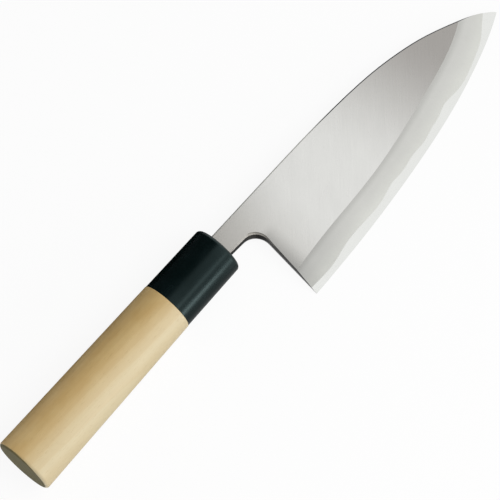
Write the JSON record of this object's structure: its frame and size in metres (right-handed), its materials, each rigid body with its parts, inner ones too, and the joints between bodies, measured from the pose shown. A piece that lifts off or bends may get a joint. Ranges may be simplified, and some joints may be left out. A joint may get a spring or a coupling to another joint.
{
  "type": "deba kitchen knife",
  "caption": "Heavy single-bevel fish knife with a laminated blade, oval pale wooden handle and black moulded ferrule, lying on its flat side.",
  "frame": {"origin": "centre of the handle's butt face", "axes": "+X from the butt along the handle's straight top line to the tip, +Y towards the spine, +Z out of the blade's ground right-hand face; the knife lies on its left side"},
  "size_m": [0.291, 0.0557, 0.0214],
  "materials": {
    "soft_steel": "finely brushed flat, hazy ground bevel",
    "hard_steel": "polished along the edge, ground on the back",
    "black_plastic": "smooth moulded, low gloss",
    "pale_wood": "sanded, fine straight grain, unvarnished",
    "cured_resin": "cured filler, dull"
  },
  "bodies": {
    "root": {"blade_body": "soft_steel", "edge_steel": "hard_steel", "ferrule": "black_plastic", "handle": "pale_wood", "tang_resin": "cured_resin"}
  },
  "joints": []
}
